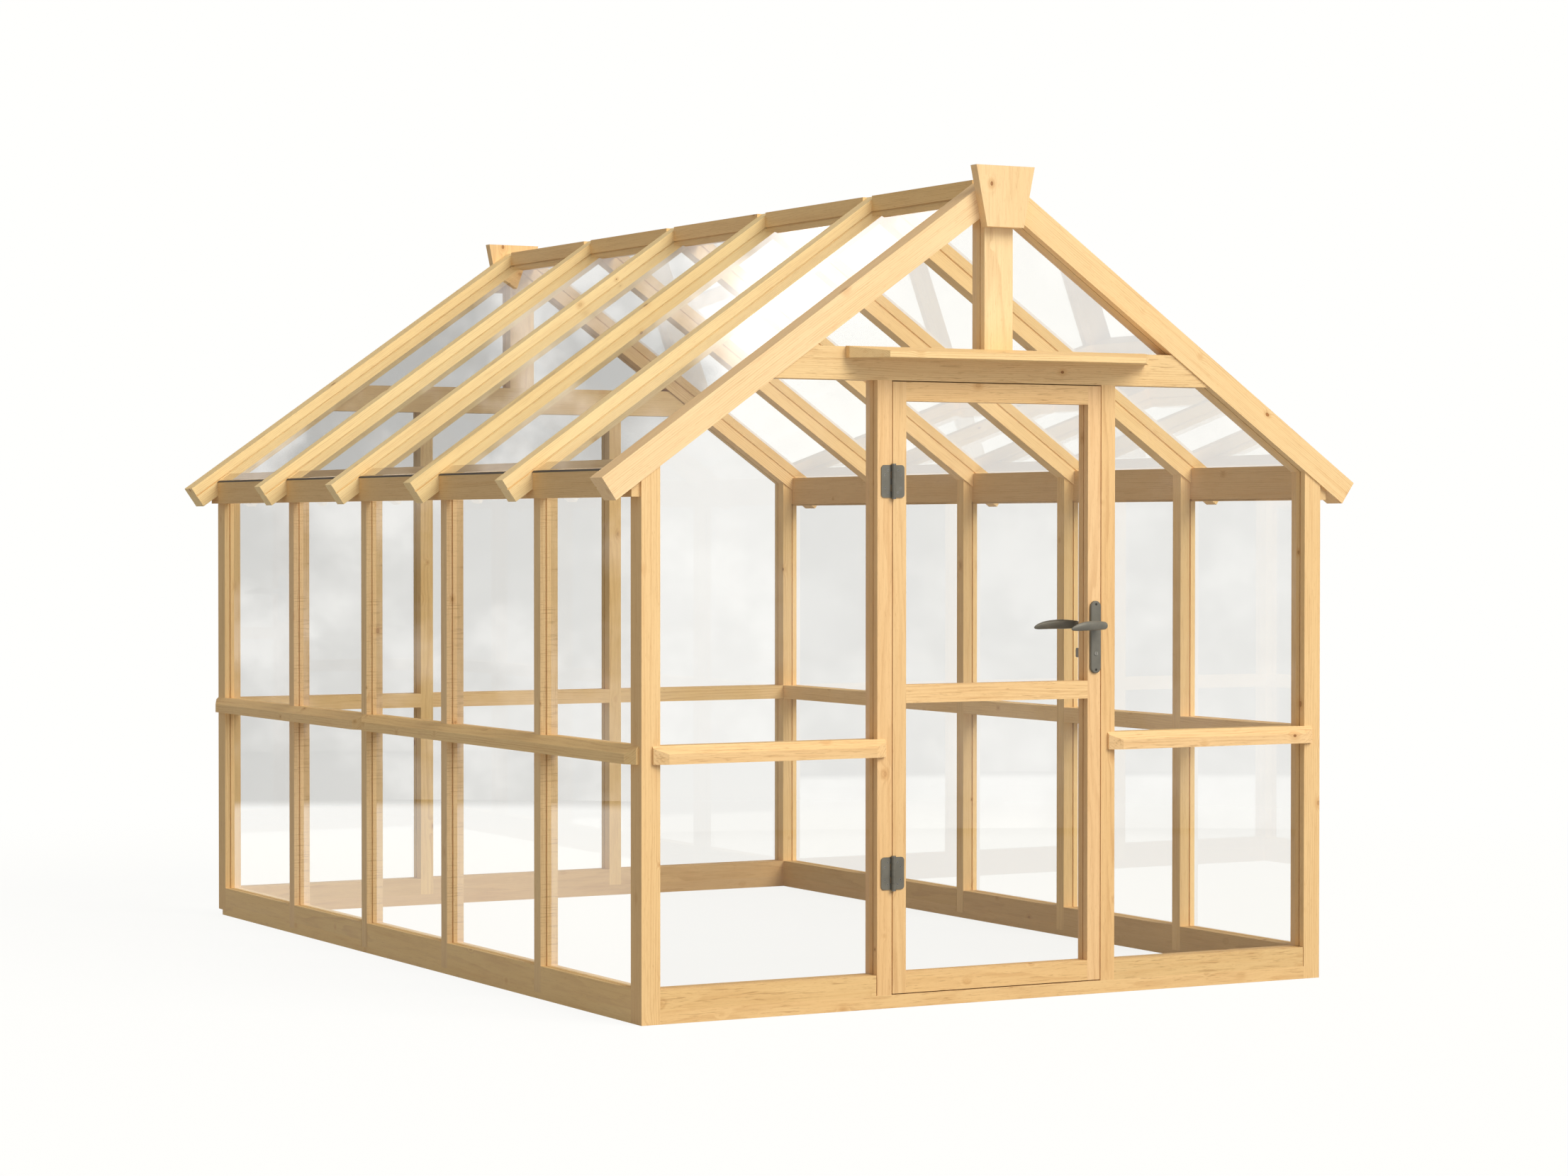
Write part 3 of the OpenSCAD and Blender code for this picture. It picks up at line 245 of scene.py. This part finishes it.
def make_pine_group():
    """The pattern of a planed pine board: growth rings about a pith line, fibres, curls and knots."""
    group = bpy.data.node_groups.new("pine_pattern", "ShaderNodeTree")
    for name in ("Along", "Across", "Deep", "Board", "Curl"):
        group.interface.new_socket(name, in_out="INPUT", socket_type="NodeSocketFloat")
    for name, kind in (("Color", "NodeSocketColor"), ("Roughness", "NodeSocketFloat"), ("Height", "NodeSocketFloat")):
        group.interface.new_socket(name, in_out="OUTPUT", socket_type=kind)
    t = Tree(group)
    given = t.add("NodeGroupInput").outputs
    result = t.add("NodeGroupOutput").inputs

    chance = t.add("ShaderNodeTexWhiteNoise", noise_dimensions="1D")
    t.put(chance.inputs["W"], given["Board"])
    luck = t.split(chance.outputs["Color"])
    along = t.plus(given["Along"], t.times(luck[0], BOARD_SHIFT))

    def stretched(cells):
        lengthwise, crosswise = cells
        return t.combine(t.times(along, lengthwise),
                         t.times(given["Across"], crosswise),
                         t.times(given["Deep"], crosswise))

    def grain_noise(cells, detail=2.0, rough=0.5, lift=0.0):
        return t.noise(stretched(cells), 1.0, detail, rough, lift)

    # Knots: a point here and there in each board, with its own radius
    spread = t.vector("ADD", stretched(KNOTS), chance.outputs["Color"])
    cells = t.add("ShaderNodeTexVoronoi", voronoi_dimensions="3D", feature="F1")
    t.fill(cells, Vector=spread, Scale=1.0, Randomness=1.0)
    away = t.vector("SUBTRACT", spread, cells.outputs["Position"])
    away = t.vector("MULTIPLY", away, (1 / KNOTS[0] * KNOT_SQUASH, 1 / KNOTS[1], 1 / KNOTS[1]))
    own = t.split(cells.outputs["Color"])
    radius = t.scaled(own[0], KNOT_RADIUS_SPREAD, KNOT_RADIUS)
    near = t.math("DIVIDE", t.vector("LENGTH", away), radius)

    # Rings, which sway along the board and bulge around the knots
    sway = t.add("ShaderNodeTexNoise")
    t.fill(sway, Vector=stretched(RING_SWAY), Scale=1.0, Detail=2.0)
    sway = t.split(sway.outputs["Color"])
    pith_across = t.scaled(luck[1], PITH_ACROSS, -PITH_ACROSS / 2)
    pith_deep = t.scaled(luck[2], PITH_DEEP_SPREAD, PITH_DEEP_LEAST)
    across = t.plus(t.plus(given["Across"], pith_across), t.scaled(sway[0], SWAY_SIZE, -SWAY_SIZE / 2))
    deep = t.plus(t.plus(given["Deep"], pith_deep), t.scaled(sway[1], SWAY_SIZE, -SWAY_SIZE / 2))
    closeness = t.math("POWER", t.math("DIVIDE", near, KNOT_BULGE_REACH), 2.0)
    bulge = t.times(t.math("EXPONENT", t.times(closeness, -1.0)), KNOT_BULGE)
    ring = t.math("SQRT", t.plus(t.math("POWER", across, 2.0), t.math("POWER", deep, 2.0)))
    ring = t.plus(ring, bulge)
    ring = t.plus(ring, t.scaled(grain_noise(RING_RIPPLE, 3.0), RIPPLE_SIZE, -RIPPLE_SIZE / 2))
    turns = t.math("DIVIDE", ring, RING_WIDTH)
    saw = t.math("FRACT", turns)
    late = t.times(t.step(saw, *RING_RISE), t.step(saw, *RING_FALL, 1.0, 0.0))
    year = t.add("ShaderNodeTexWhiteNoise", noise_dimensions="1D")
    t.put(year.inputs["W"], t.math("FLOOR", turns))
    late = t.times(late, t.scaled(year.outputs["Value"], YEAR_SPREAD, YEAR_LEAST))
    late = t.times(late, t.step(grain_noise(RING_BREAKS), *BREAK_RANGE, BREAK_SHARE, 1.0))

    # Fibres, short curls and slow patches
    fibre = grain_noise(FIBRES, rough=0.6)
    colour = t.mix(t.times(late, LATE_SHARE), EARLY, LATE)
    colour = t.mix(t.step(grain_noise(STREAKS, rough=0.55), *STREAK_RANGE, 0.0, STREAK_SHARE), colour, STREAK)
    colour = t.mix(t.step(grain_noise(DASHES, 1.0), *DASH_RANGE, 0.0, DASH_SHARE), colour, LATE)
    colour = t.mix(t.step(fibre, *FIBRE_RANGE, 0.0, FIBRE_SHARE), colour, LATE)
    curl = grain_noise(CURLS, 3.0, 0.6, 0.7)
    colour = t.mix(t.times(t.step(curl, *CURL_RANGE), given["Curl"]), colour, SAWN)
    warmed = t.mix(1.0, colour, WARM, "MULTIPLY")
    colour = t.mix(t.step(grain_noise(PATCHES), *PATCH_RANGE, 0.0, PATCH_SHARE), colour, warmed)

    # Each board's own shade
    shade = t.scaled(luck[0], SHADE_SPREAD, SHADE_LEAST)
    red = t.plus(shade, t.scaled(luck[2], RED_SPREAD, -RED_SPREAD / 2))
    blue = t.times(shade, t.scaled(luck[1], BLUE_SPREAD, BLUE_LEAST))
    colour = t.mix(1.0, colour, t.combine(red, shade, blue), "MULTIPLY")

    colour = t.mix(t.step(near, *HALO_RANGE, 0.0, HALO_SHARE), colour, KNOT_HALO)
    heart = t.times(t.step(near, *HEART_RANGE), t.step(own[1], *HEART_LUCK, *HEART_SHARE))
    rim = t.times(t.step(near, *RIM_RANGE), heart)
    colour = t.mix(heart, colour, t.mix(rim, KNOT_HEART, KNOT_RIM))
    t.put(result["Color"], colour)

    rough = t.scaled(late, ROUGH_LATE, PINE_ROUGHNESS)
    rough = t.plus(rough, t.scaled(fibre, ROUGH_FIBRE, -ROUGH_FIBRE / 2))
    t.put(result["Roughness"], t.minus(rough, t.times(heart, ROUGH_HEART)))
    height = t.plus(t.times(late, HIGH_LATE), t.times(fibre, HIGH_FIBRE))
    t.put(result["Height"], t.minus(height, t.times(heart, HIGH_HEART)))
    return group


pine_group = make_pine_group()

ROUGH_SAWN = ("studs_left",)
CURLY = ("sill_front", "bottom_rails_front", "transoms_front", "door_rails", "weather_bars_front", "tie_beam_front")
# Each piece's colour is scaled to paint in the light or shade that falls on it (painted light and painted shade),
# partly also the timber's own tone
PIECE_LIGHT_TONE = {
    "rafters_left": (1.03, 1.12, 1.20),
    "rafters_right": (1.00, 1.01, 1.02),
    "gable_rafters_left": (1.00, 1.00, 1.10),
    "gable_rafters_right": (0.98, 0.96, 0.98),
    "king_posts": (1.02, 1.05, 1.14),
    "ridge_end_boards": (0.99, 0.98, 1.05),
    "tie_beam_front": (0.96, 0.95, 0.97),
    "studs_left": (0.98, 1.00, 1.12),
    "sill_left": (1.03, 1.05, 1.07),
    "bottom_rails_left": (1.03, 1.05, 1.07),
    "door_jamb_hinge_side": (0.93, 0.87, 0.85),
    "door_jamb_lock_side": (0.89, 0.82, 0.81),
    "door_hinge_stile": (0.94, 0.88, 0.90),
    "door_lock_stile": (0.94, 0.88, 0.90),
    "door_rails": (0.94, 0.89, 0.87),
    "sill_front": (0.88, 0.84, 0.82),
    "bottom_rails_front": (0.88, 0.84, 0.82),
    "weather_bars_front": (0.97, 0.93, 0.95),
    "corner_posts_front": (0.97, 0.93, 0.95),
    "eaves_beam_left": (0.92, 0.89, 0.87),
    "eaves_beam_right": (0.88, 0.87, 0.88),
    "bottom_rails_right": (0.80, 0.76, 0.70),
    "sill_right": (0.80, 0.76, 0.70),
    "bottom_rails_back": (0.84, 0.80, 0.80),
    "sill_back": (0.84, 0.80, 0.80),
}
# The back board of these nodes gets painted light of its own: it is made brighter as it is lit more than the front
# board
BACK_BOARD_LIGHT_TONE = {"gable_rafters_left": (1.03, 1.11, 1.18)}

ROOF_SLOPE = math.radians(35)
RUN, RISE = math.cos(ROOF_SLOPE), math.sin(ROOF_SLOPE)
# The directions along the grain, across it and into the board
GRAIN = {
    "z": ((0, 0, 1), (1, 0, 0), (0, 1, 0)),
    "x": ((1, 0, 0), (0, 0, 1), (0, 1, 0)),
    "y": ((0, 1, 0), (0, 0, 1), (1, 0, 0)),
    "left_slope": ((RUN, 0, RISE), (-RISE, 0, RUN), (0, 1, 0)),
    "right_slope": ((RUN, 0, -RISE), (RISE, 0, RUN), (0, 1, 0)),
}
TIMBER = {
    "z": ("corner_posts_front", "corner_posts_back", "studs_left", "studs_right", "studs_back",
          "door_jamb_hinge_side", "door_jamb_lock_side", "king_posts", "ridge_end_boards", "door_stops",
          "door_hinge_stile", "door_lock_stile"),
    "x": ("sill_front", "sill_back", "bottom_rails_front", "bottom_rails_back", "transoms_front",
          "transoms_back", "weather_bars_front", "weather_bars_back", "tie_beam_front", "tie_beam_back",
          "door_canopy", "door_rails"),
    "y": ("sill_left", "sill_right", "bottom_rails_left", "bottom_rails_right", "transoms_left",
          "transoms_right", "weather_bars_left", "weather_bars_right", "eaves_beam_left", "eaves_beam_right",
          "ridge_blocks"),
    "left_slope": ("gable_rafters_left", "rafters_left"),
    "right_slope": ("gable_rafters_right", "rafters_right"),
}
SAME_POINT = 2e-5
TOUCHING = 1e-4


def board_spans(obj):
    """The lowest and highest corner of each separate board in a CAD node."""
    mesh = obj.data
    points = np.empty(len(mesh.vertices) * 3, np.float32)
    mesh.vertices.foreach_get("co", points)
    points = points.reshape(-1, 3)
    _, same = np.unique(np.round(points / SAME_POINT).astype(np.int64), axis=0, return_inverse=True)
    same = same.ravel()
    parent = list(range(same.max() + 1))

    def top(i):
        while parent[i] != i:
            parent[i] = parent[parent[i]]
            i = parent[i]
        return i

    for polygon in mesh.polygons:
        ids = [same[v] for v in polygon.vertices]
        first = top(ids[0])
        for other in ids[1:]:
            other = top(other)
            if other != first:
                parent[other] = first
    boards = {}
    for i, at in enumerate(same):
        boards.setdefault(top(at), []).append(i)
    return [(points[ids].min(0), points[ids].max(0)) for ids in boards.values()]


def borders_between(spans):
    """The axis along which the boards lie apart, and a value between each two."""
    for axis in (1, 0, 2):
        order = sorted(((low[axis], high[axis]) for low, high in spans))
        gaps = [(a[1], b[0]) for a, b in zip(order, order[1:])]
        if all(b > a - TOUCHING for a, b in gaps):
            return axis, [float(a + b) / 2 for a, b in gaps]
    return 1, []


def sawn_marks(t, where, along, across, colour):
    """Short dark marks across the grain on the rough faces that look towards -Y."""
    fine = t.combine(t.times(along, SAWN_FINE[0]), t.times(across, SAWN_FINE[1]), 0.0)
    coarse = t.combine(t.times(along, SAWN_COARSE[0]), t.times(across, SAWN_COARSE[1]), 7.0)
    marks = t.step(t.noise(fine, 1.0, 3.0, 0.6), *SAWN_RANGE, 0.0, SAWN_SHARE)
    patches = t.step(t.noise(coarse, 1.0, 1.0), *SAWN_PATCH_RANGE, SAWN_PATCH_SHARE, 1.0)
    facing = t.step(t.split(where.outputs["Normal"])[1], *SAWN_FACING)
    return t.mix(t.times(t.times(marks, patches), facing), colour, SAWN)


def pine(node, grain, seed):
    material, t = new_material("pine_" + node)
    coordinates = t.add("ShaderNodeTexCoord")
    where = coordinates.outputs["Object"]
    along, across, deep = (t.vector("DOT_PRODUCT", where, direction) for direction in GRAIN[grain])
    axis, borders = borders_between(board_spans(nodes[node]))
    board = float(seed)
    if borders:
        value = t.split(where)[axis]
        for border in borders:
            board = t.plus(board, t.math("GREATER_THAN", value, border))
    pattern = t.add("ShaderNodeGroup")
    pattern.node_tree = pine_group
    curl = CURL_SHARE if node in CURLY else CURL_SHARE_PLAIN
    t.fill(pattern, Along=along, Across=across, Deep=deep, Board=board, Curl=curl)
    colour = pattern.outputs["Color"]
    if node in ROUGH_SAWN:
        colour = sawn_marks(t, coordinates, along, across, colour)
    # Scale the colour by the piece's painted light and shade
    if node in PIECE_LIGHT_TONE:
        painted_light_tone = (*PIECE_LIGHT_TONE[node], 1.0)
        if node in BACK_BOARD_LIGHT_TONE:
            at_back = t.math("GREATER_THAN", t.split(where)[1], 0.0)
            painted_light_tone = t.mix(at_back, painted_light_tone, (*BACK_BOARD_LIGHT_TONE[node], 1.0))
        colour = t.mix(1.0, colour, painted_light_tone, "MULTIPLY")
    t.surface(t.shader("ShaderNodeBsdfPrincipled",
                       Base_Color=colour,
                       Roughness=pattern.outputs["Roughness"],
                       IOR=PINE_IOR,
                       Specular_IOR_Level=PINE_SPECULAR,
                       Normal=t.bump(pattern.outputs["Height"], PINE_BUMP, PINE_BUMP_DEPTH)))
    return material


def dress(node, material):
    obj = nodes[node]
    if not obj.material_slots:
        obj.data.materials.append(None)
    for slot in obj.material_slots:
        slot.material = material


FIRST_SEED, SEED_STEP = 11, 17
seed = FIRST_SEED
for grain, names in TIMBER.items():
    for node in names:
        dress(node, pine(node, grain, seed))
        seed += SEED_STEP


# ---------------------------------------------------------------- glass
GLASS_IOR = 1.5
GLASS_TINT, GLASS_TINT_CLEAR = (0.992, 0.991, 0.986, 1), (0.997, 0.996, 0.992, 1)
SMEAR_CELLS, SMEAR_RANGE = 3.0, (0.3, 0.8)
GLASS_ROUGHNESS = (0.004, 0.02)
WALL_SUN_SHARE, ROOF_SUN_SHARE = 0.78, 1.0


def glass_material(name, sun_share, lets_soft_light_in):
    """Clear glass: each pane reflects at its outer face as both faces would, and lets the rest through."""
    material, t = new_material(name)
    where = t.add("ShaderNodeTexCoord").outputs["Object"]
    fresnel = t.add("ShaderNodeFresnel")
    t.fill(fresnel, IOR=GLASS_IOR)
    once = fresnel.outputs[0]
    both = t.math("DIVIDE", t.times(once, 2.0), t.plus(once, 1.0))
    back = t.add("ShaderNodeNewGeometry").outputs["Backfacing"]
    path = t.add("ShaderNodeLightPath").outputs
    shadow = path["Is Shadow Ray"]
    through = t.math("MAXIMUM", shadow, path["Is Diffuse Ray"]) if lets_soft_light_in else shadow
    share = t.math("MULTIPLY", both, t.minus(1.0, back), clamp=True)
    share = t.times(share, t.minus(1.0, through))
    smear = t.noise(where, SMEAR_CELLS, 4.0, 0.6)
    tint = t.mix(smear, GLASS_TINT, GLASS_TINT_CLEAR)
    face_share = math.sqrt(sun_share)
    clear = t.shader("ShaderNodeBsdfTransparent", Color=t.mix(shadow, tint, (face_share, face_share, face_share, 1)))
    shine = t.shader("ShaderNodeBsdfGlossy", Roughness=t.step(smear, *SMEAR_RANGE, *GLASS_ROUGHNESS))
    t.surface(t.mix_shaders(share, clear, shine))
    return material


wall_glass = glass_material("wall_glass", WALL_SUN_SHARE, False)
roof_glass = glass_material("roof_glass", ROOF_SUN_SHARE, True)
for node in ("wall_glass_left", "wall_glass_right", "wall_glass_front", "wall_glass_back", "door_glass"):
    dress(node, wall_glass)
for node in ("roof_glass_left", "roof_glass_right"):
    dress(node, roof_glass)


# ---------------------------------------------------------------- metal and tape
BRUSH_STRETCH = (1.0, 1.0, 0.06)
METAL_GRAIN_CELLS, METAL_CLOUD_CELLS = 900.0, 28.0
METAL_GRAIN_RANGE, METAL_CLOUD_RANGE = (0.25, 0.75), (0.35, 0.7)
METAL_CLOUD_SHARE = 0.55
METAL_SMOOTHER, METAL_ROUGHER = 0.06, 0.08
METAL_BUMP, METAL_BUMP_DEPTH = 0.18, 0.0002
TAPE_DARK, TAPE_PALE = srgb(74, 68, 60), srgb(98, 91, 82)
TAPE_SPECK_CELLS, TAPE_SPECK_RANGE = 260.0, (0.3, 0.7)
TAPE_ROUGHNESS = (0.72, 0.92)
TAPE_BUMP, TAPE_BUMP_DEPTH = 0.3, 0.0003


def metal_material(name, colour, dark, metallic, rough, brushed):
    material, t = new_material(name)
    where = t.add("ShaderNodeTexCoord").outputs["Object"]
    stretched = t.vector("MULTIPLY", where, BRUSH_STRETCH if brushed else (1.0, 1.0, 1.0))
    grain = t.noise(stretched, METAL_GRAIN_CELLS, 2.0, 0.6)
    shade = t.step(t.noise(where, METAL_CLOUD_CELLS, 3.0), *METAL_CLOUD_RANGE, 0.0, METAL_CLOUD_SHARE)
    t.surface(t.shader("ShaderNodeBsdfPrincipled",
                       Base_Color=t.mix(shade, colour, dark),
                       Metallic=metallic,
                       Roughness=t.step(grain, *METAL_GRAIN_RANGE, rough - METAL_SMOOTHER, rough + METAL_ROUGHER),
                       Normal=t.bump(grain, METAL_BUMP, METAL_BUMP_DEPTH)))
    return material


def tape_material():
    material, t = new_material("glazing_tape")
    where = t.add("ShaderNodeTexCoord").outputs["Object"]
    speck = t.noise(where, TAPE_SPECK_CELLS, 3.0, 0.6)
    t.surface(t.shader("ShaderNodeBsdfPrincipled",
                       Base_Color=t.mix(speck, TAPE_DARK, TAPE_PALE),
                       Roughness=t.step(speck, *TAPE_SPECK_RANGE, *TAPE_ROUGHNESS),
                       Normal=t.bump(speck, TAPE_BUMP, TAPE_BUMP_DEPTH)))
    return material


grey_metal = metal_material("grey_metal", srgb(118, 115, 105), srgb(101, 98, 89), 0.22, 0.46, False)
steel = metal_material("steel", srgb(150, 148, 142), srgb(126, 124, 118), 0.9, 0.34, True)
turn_metal = metal_material("turn_metal", srgb(150, 147, 139), srgb(134, 131, 123), 0.22, 0.42, False)
# The handle screws are darkened to stand in for the shade in their recesses (painted shade)
painted_shade_steel = metal_material("painted_shade_steel", srgb(74, 71, 66), srgb(58, 56, 52), 0.6, 0.42, False)
for node in ("hinge_leaves_frame", "hinge_leaves_door", "handle_plates", "handle_levers"):
    dress(node, grey_metal)
for node in ("hinge_pins", "strike_plate", "hinge_screws_frame", "hinge_screws_door", "lock_case", "latch_bolt",
             "dead_bolt"):
    dress(node, steel)
dress("thumb_turn", turn_metal)
dress("handle_screws", painted_shade_steel)
dress("glazing_tapes", tape_material())

# ---------------------------------------------------------------- floor
BACKGROUND = (1.0, 1.0, 0.985, 1)
FLOOR_R = 7.6
FLOOR_SIDES = 96
FLOOR_SINK = 0.0005
# From here to there the floor turns into the white background
FADE_FROM, FADE_TO = 4.2, 6.5
MATT = (0.10, 0.10, 0.098, 1)
FLOOR_GLOW = 0.905
# What the glass mirrors: bright beside the object and behind it, dim in front of it
MIRRORED_FLOOR, MIRRORED_FRONT = 1.5, 0.42
MIRRORED_FRONT_FROM, MIRRORED_FRONT_TO = -1.4, -1.8
MIRRORED_LEFT = 0.84
MIRRORED_LEFT_FROM, MIRRORED_LEFT_TO = -1.6, -1.2
MIRRORED_END = 6.9
MIRRORED_COLOUR = (1.0, 0.975, 0.91, 1)
# What lights the object from below: the floor's own bounce and a cool sweep in front
BOUNCE = (0.34, 0.34, 0.345, 1)
SWEEP = 0.84
SWEEP_COLOUR = (0.80, 0.97, 1.26, 1)
SWEEP_FROM, SWEEP_TO = -2.8, -4.6


def floor_material():
    """A pale floor that fades to the white background away from the object and keeps its shadow."""
    material, t = new_material("floor")
    where = t.add("ShaderNodeTexCoord").outputs["Object"]
    path = t.add("ShaderNodeLightPath").outputs
    side, forth, _ = t.split(where)
    far = t.vector("LENGTH", where)
    in_view = t.math("MAXIMUM", path["Is Camera Ray"], path["Is Transmission Ray"])
    seen = t.math("MAXIMUM", in_view, path["Is Glossy Ray"])
    in_glass = t.times(t.step(forth, MIRRORED_FRONT_FROM, MIRRORED_FRONT_TO, MIRRORED_FLOOR, MIRRORED_FRONT),
                       t.step(side, MIRRORED_LEFT_FROM, MIRRORED_LEFT_TO, MIRRORED_LEFT, 1.0))
    in_glass = t.times(in_glass, t.step(far, MIRRORED_END, FLOOR_R, 1.0, 0.0))
    in_glass = t.times(path["Is Glossy Ray"], in_glass)
    lit = t.shader("ShaderNodeEmission",
                   Color=t.mix(path["Is Glossy Ray"], BACKGROUND, MIRRORED_COLOUR),
                   Strength=t.plus(t.times(in_view, FLOOR_GLOW), in_glass))
    shown = t.add_shaders(t.shader("ShaderNodeBsdfDiffuse", Color=MATT), lit)
    sweep_strength = t.step(forth, SWEEP_FROM, SWEEP_TO, 0.0, SWEEP)
    sweep = t.shader("ShaderNodeEmission", Color=SWEEP_COLOUR, Strength=sweep_strength)
    unseen = t.add_shaders(t.shader("ShaderNodeBsdfDiffuse", Color=BOUNCE), sweep)
    unlit = t.times(t.minus(1.0, seen), sweep_strength)
    white = t.shader("ShaderNodeEmission", Color=BACKGROUND, Strength=t.plus(in_view, t.plus(in_glass, unlit)))
    t.surface(t.mix_shaders(t.step(far, FADE_FROM, FADE_TO), t.mix_shaders(seen, unseen, shown), white))
    return material


floor_mesh = bpy.data.meshes.new("floor")
rim = [(FLOOR_R * math.cos(2 * math.pi * i / FLOOR_SIDES), FLOOR_R * math.sin(2 * math.pi * i / FLOOR_SIDES), 0.0)
       for i in range(FLOOR_SIDES)]
floor_mesh.from_pydata(rim, [], [list(range(FLOOR_SIDES))])
floor = bpy.data.objects.new("floor", floor_mesh)
floor.location = (0.0, 0.0, -FLOOR_SINK)
bpy.context.scene.collection.objects.link(floor)
floor_mesh.materials.append(floor_material())

# ---------------------------------------------------------------- light
KEY_TRAVEL = Vector((-0.46, 1.0, -0.84)).normalized()
KEY_ENERGY, KEY_ANGLE = 2.42, math.radians(40)
KEY_COLOUR = (1.0, 0.950, 0.850)
key_data = bpy.data.lights.new("key", "SUN")
key_data.energy = KEY_ENERGY
key_data.angle = KEY_ANGLE
key_data.color = KEY_COLOUR
key = bpy.data.objects.new("key", key_data)
key.rotation_euler = KEY_TRAVEL.to_track_quat("-Z", "Y").to_euler()
bpy.context.scene.collection.objects.link(key)

# ---------------------------------------------------------------- world
# The soft light, dimmer and warmer around one direction at the upper left
SKY_RANGE, SKY_LIGHT = (-0.2, 0.9), (0.60, 0.56)
SOFT_COLOUR, WARM_COLOUR = (0.99, 1.0, 1.02, 1), (1.15, 0.93, 0.66, 1)
WARM_TOWARD = (-0.60, 0.10, 0.79)
WARM_INNER, WARM_OUTER = 0.25, 0.95
WARM_DIMMING = 0.58
# What the glass mirrors: dark surroundings with grey clouds, and a lamp high behind the object
STUDIO_COLOUR = (1.0, 0.985, 0.96, 1)
CLOUD_STRETCH, CLOUD_CELLS = (1.0, 1.0, 1.2), 23.0
CLOUD_RANGE, CLOUD_LIGHT = (0.44, 0.68), 0.72
LAMP_TOWARD = Vector((0.235, 0.855, 0.462)).normalized()
LAMP_OUTER, LAMP_INNER, LAMP_LIGHT = 0.085, 0.035, 2.2
LAMP_EDGE_CELLS, LAMP_EDGE = 22.0, 0.10
FRONT_RANGE, FRONT_LIGHT = (0.0, -0.6), 0.42
HIGH_RANGE, HIGH_LIGHT = (0.15, 0.35), 0.12


def make_world():
    world = bpy.data.worlds.new("world")
    bpy.context.scene.world = world
    world.use_nodes = True
    world.node_tree.nodes.clear()
    t = Tree(world.node_tree)
    toward = t.add("ShaderNodeTexCoord").outputs["Generated"]
    path = t.add("ShaderNodeLightPath").outputs
    _, ahead, height = t.split(toward)

    near_warm = t.step(t.vector("DISTANCE", toward, WARM_TOWARD), WARM_INNER, WARM_OUTER, 1.0, 0.0)
    sky = t.times(t.step(height, *SKY_RANGE, *SKY_LIGHT), t.scaled(near_warm, -WARM_DIMMING, 1.0))
    soft = t.shader("ShaderNodeBackground", Color=t.mix(near_warm, SOFT_COLOUR, WARM_COLOUR), Strength=sky)

    cloud = t.noise(t.vector("MULTIPLY", toward, CLOUD_STRETCH), CLOUD_CELLS, 4.0, 0.62)
    lamp = t.vector("DISTANCE", toward, LAMP_TOWARD)
    lamp = t.plus(lamp, t.scaled(t.noise(toward, LAMP_EDGE_CELLS, 3.0), LAMP_EDGE, -LAMP_EDGE / 2))
    mirrored = t.plus(t.step(cloud, *CLOUD_RANGE, 0.0, CLOUD_LIGHT),
                      t.step(lamp, LAMP_OUTER, LAMP_INNER, 0.0, LAMP_LIGHT))
    mirrored = t.plus(mirrored, t.plus(t.step(ahead, *FRONT_RANGE, 0.0, FRONT_LIGHT),
                                       t.step(height, *HIGH_RANGE, 0.0, HIGH_LIGHT)))
    studio = t.shader("ShaderNodeBackground", Color=STUDIO_COLOUR, Strength=mirrored)

    white = t.shader("ShaderNodeBackground", Color=BACKGROUND, Strength=1.0)
    in_view = t.math("MAXIMUM", path["Is Camera Ray"], path["Is Transmission Ray"])
    lights = t.mix_shaders(path["Is Glossy Ray"], soft, studio)
    t.surface(t.mix_shaders(in_view, lights, white), "ShaderNodeOutputWorld")


make_world()

# The view passes through up to this many faces of glass
CLEAR_FACES = 32
scene = bpy.context.scene
scene.view_settings.view_transform = "Standard"
scene.cycles.transparent_max_bounces = CLEAR_FACES
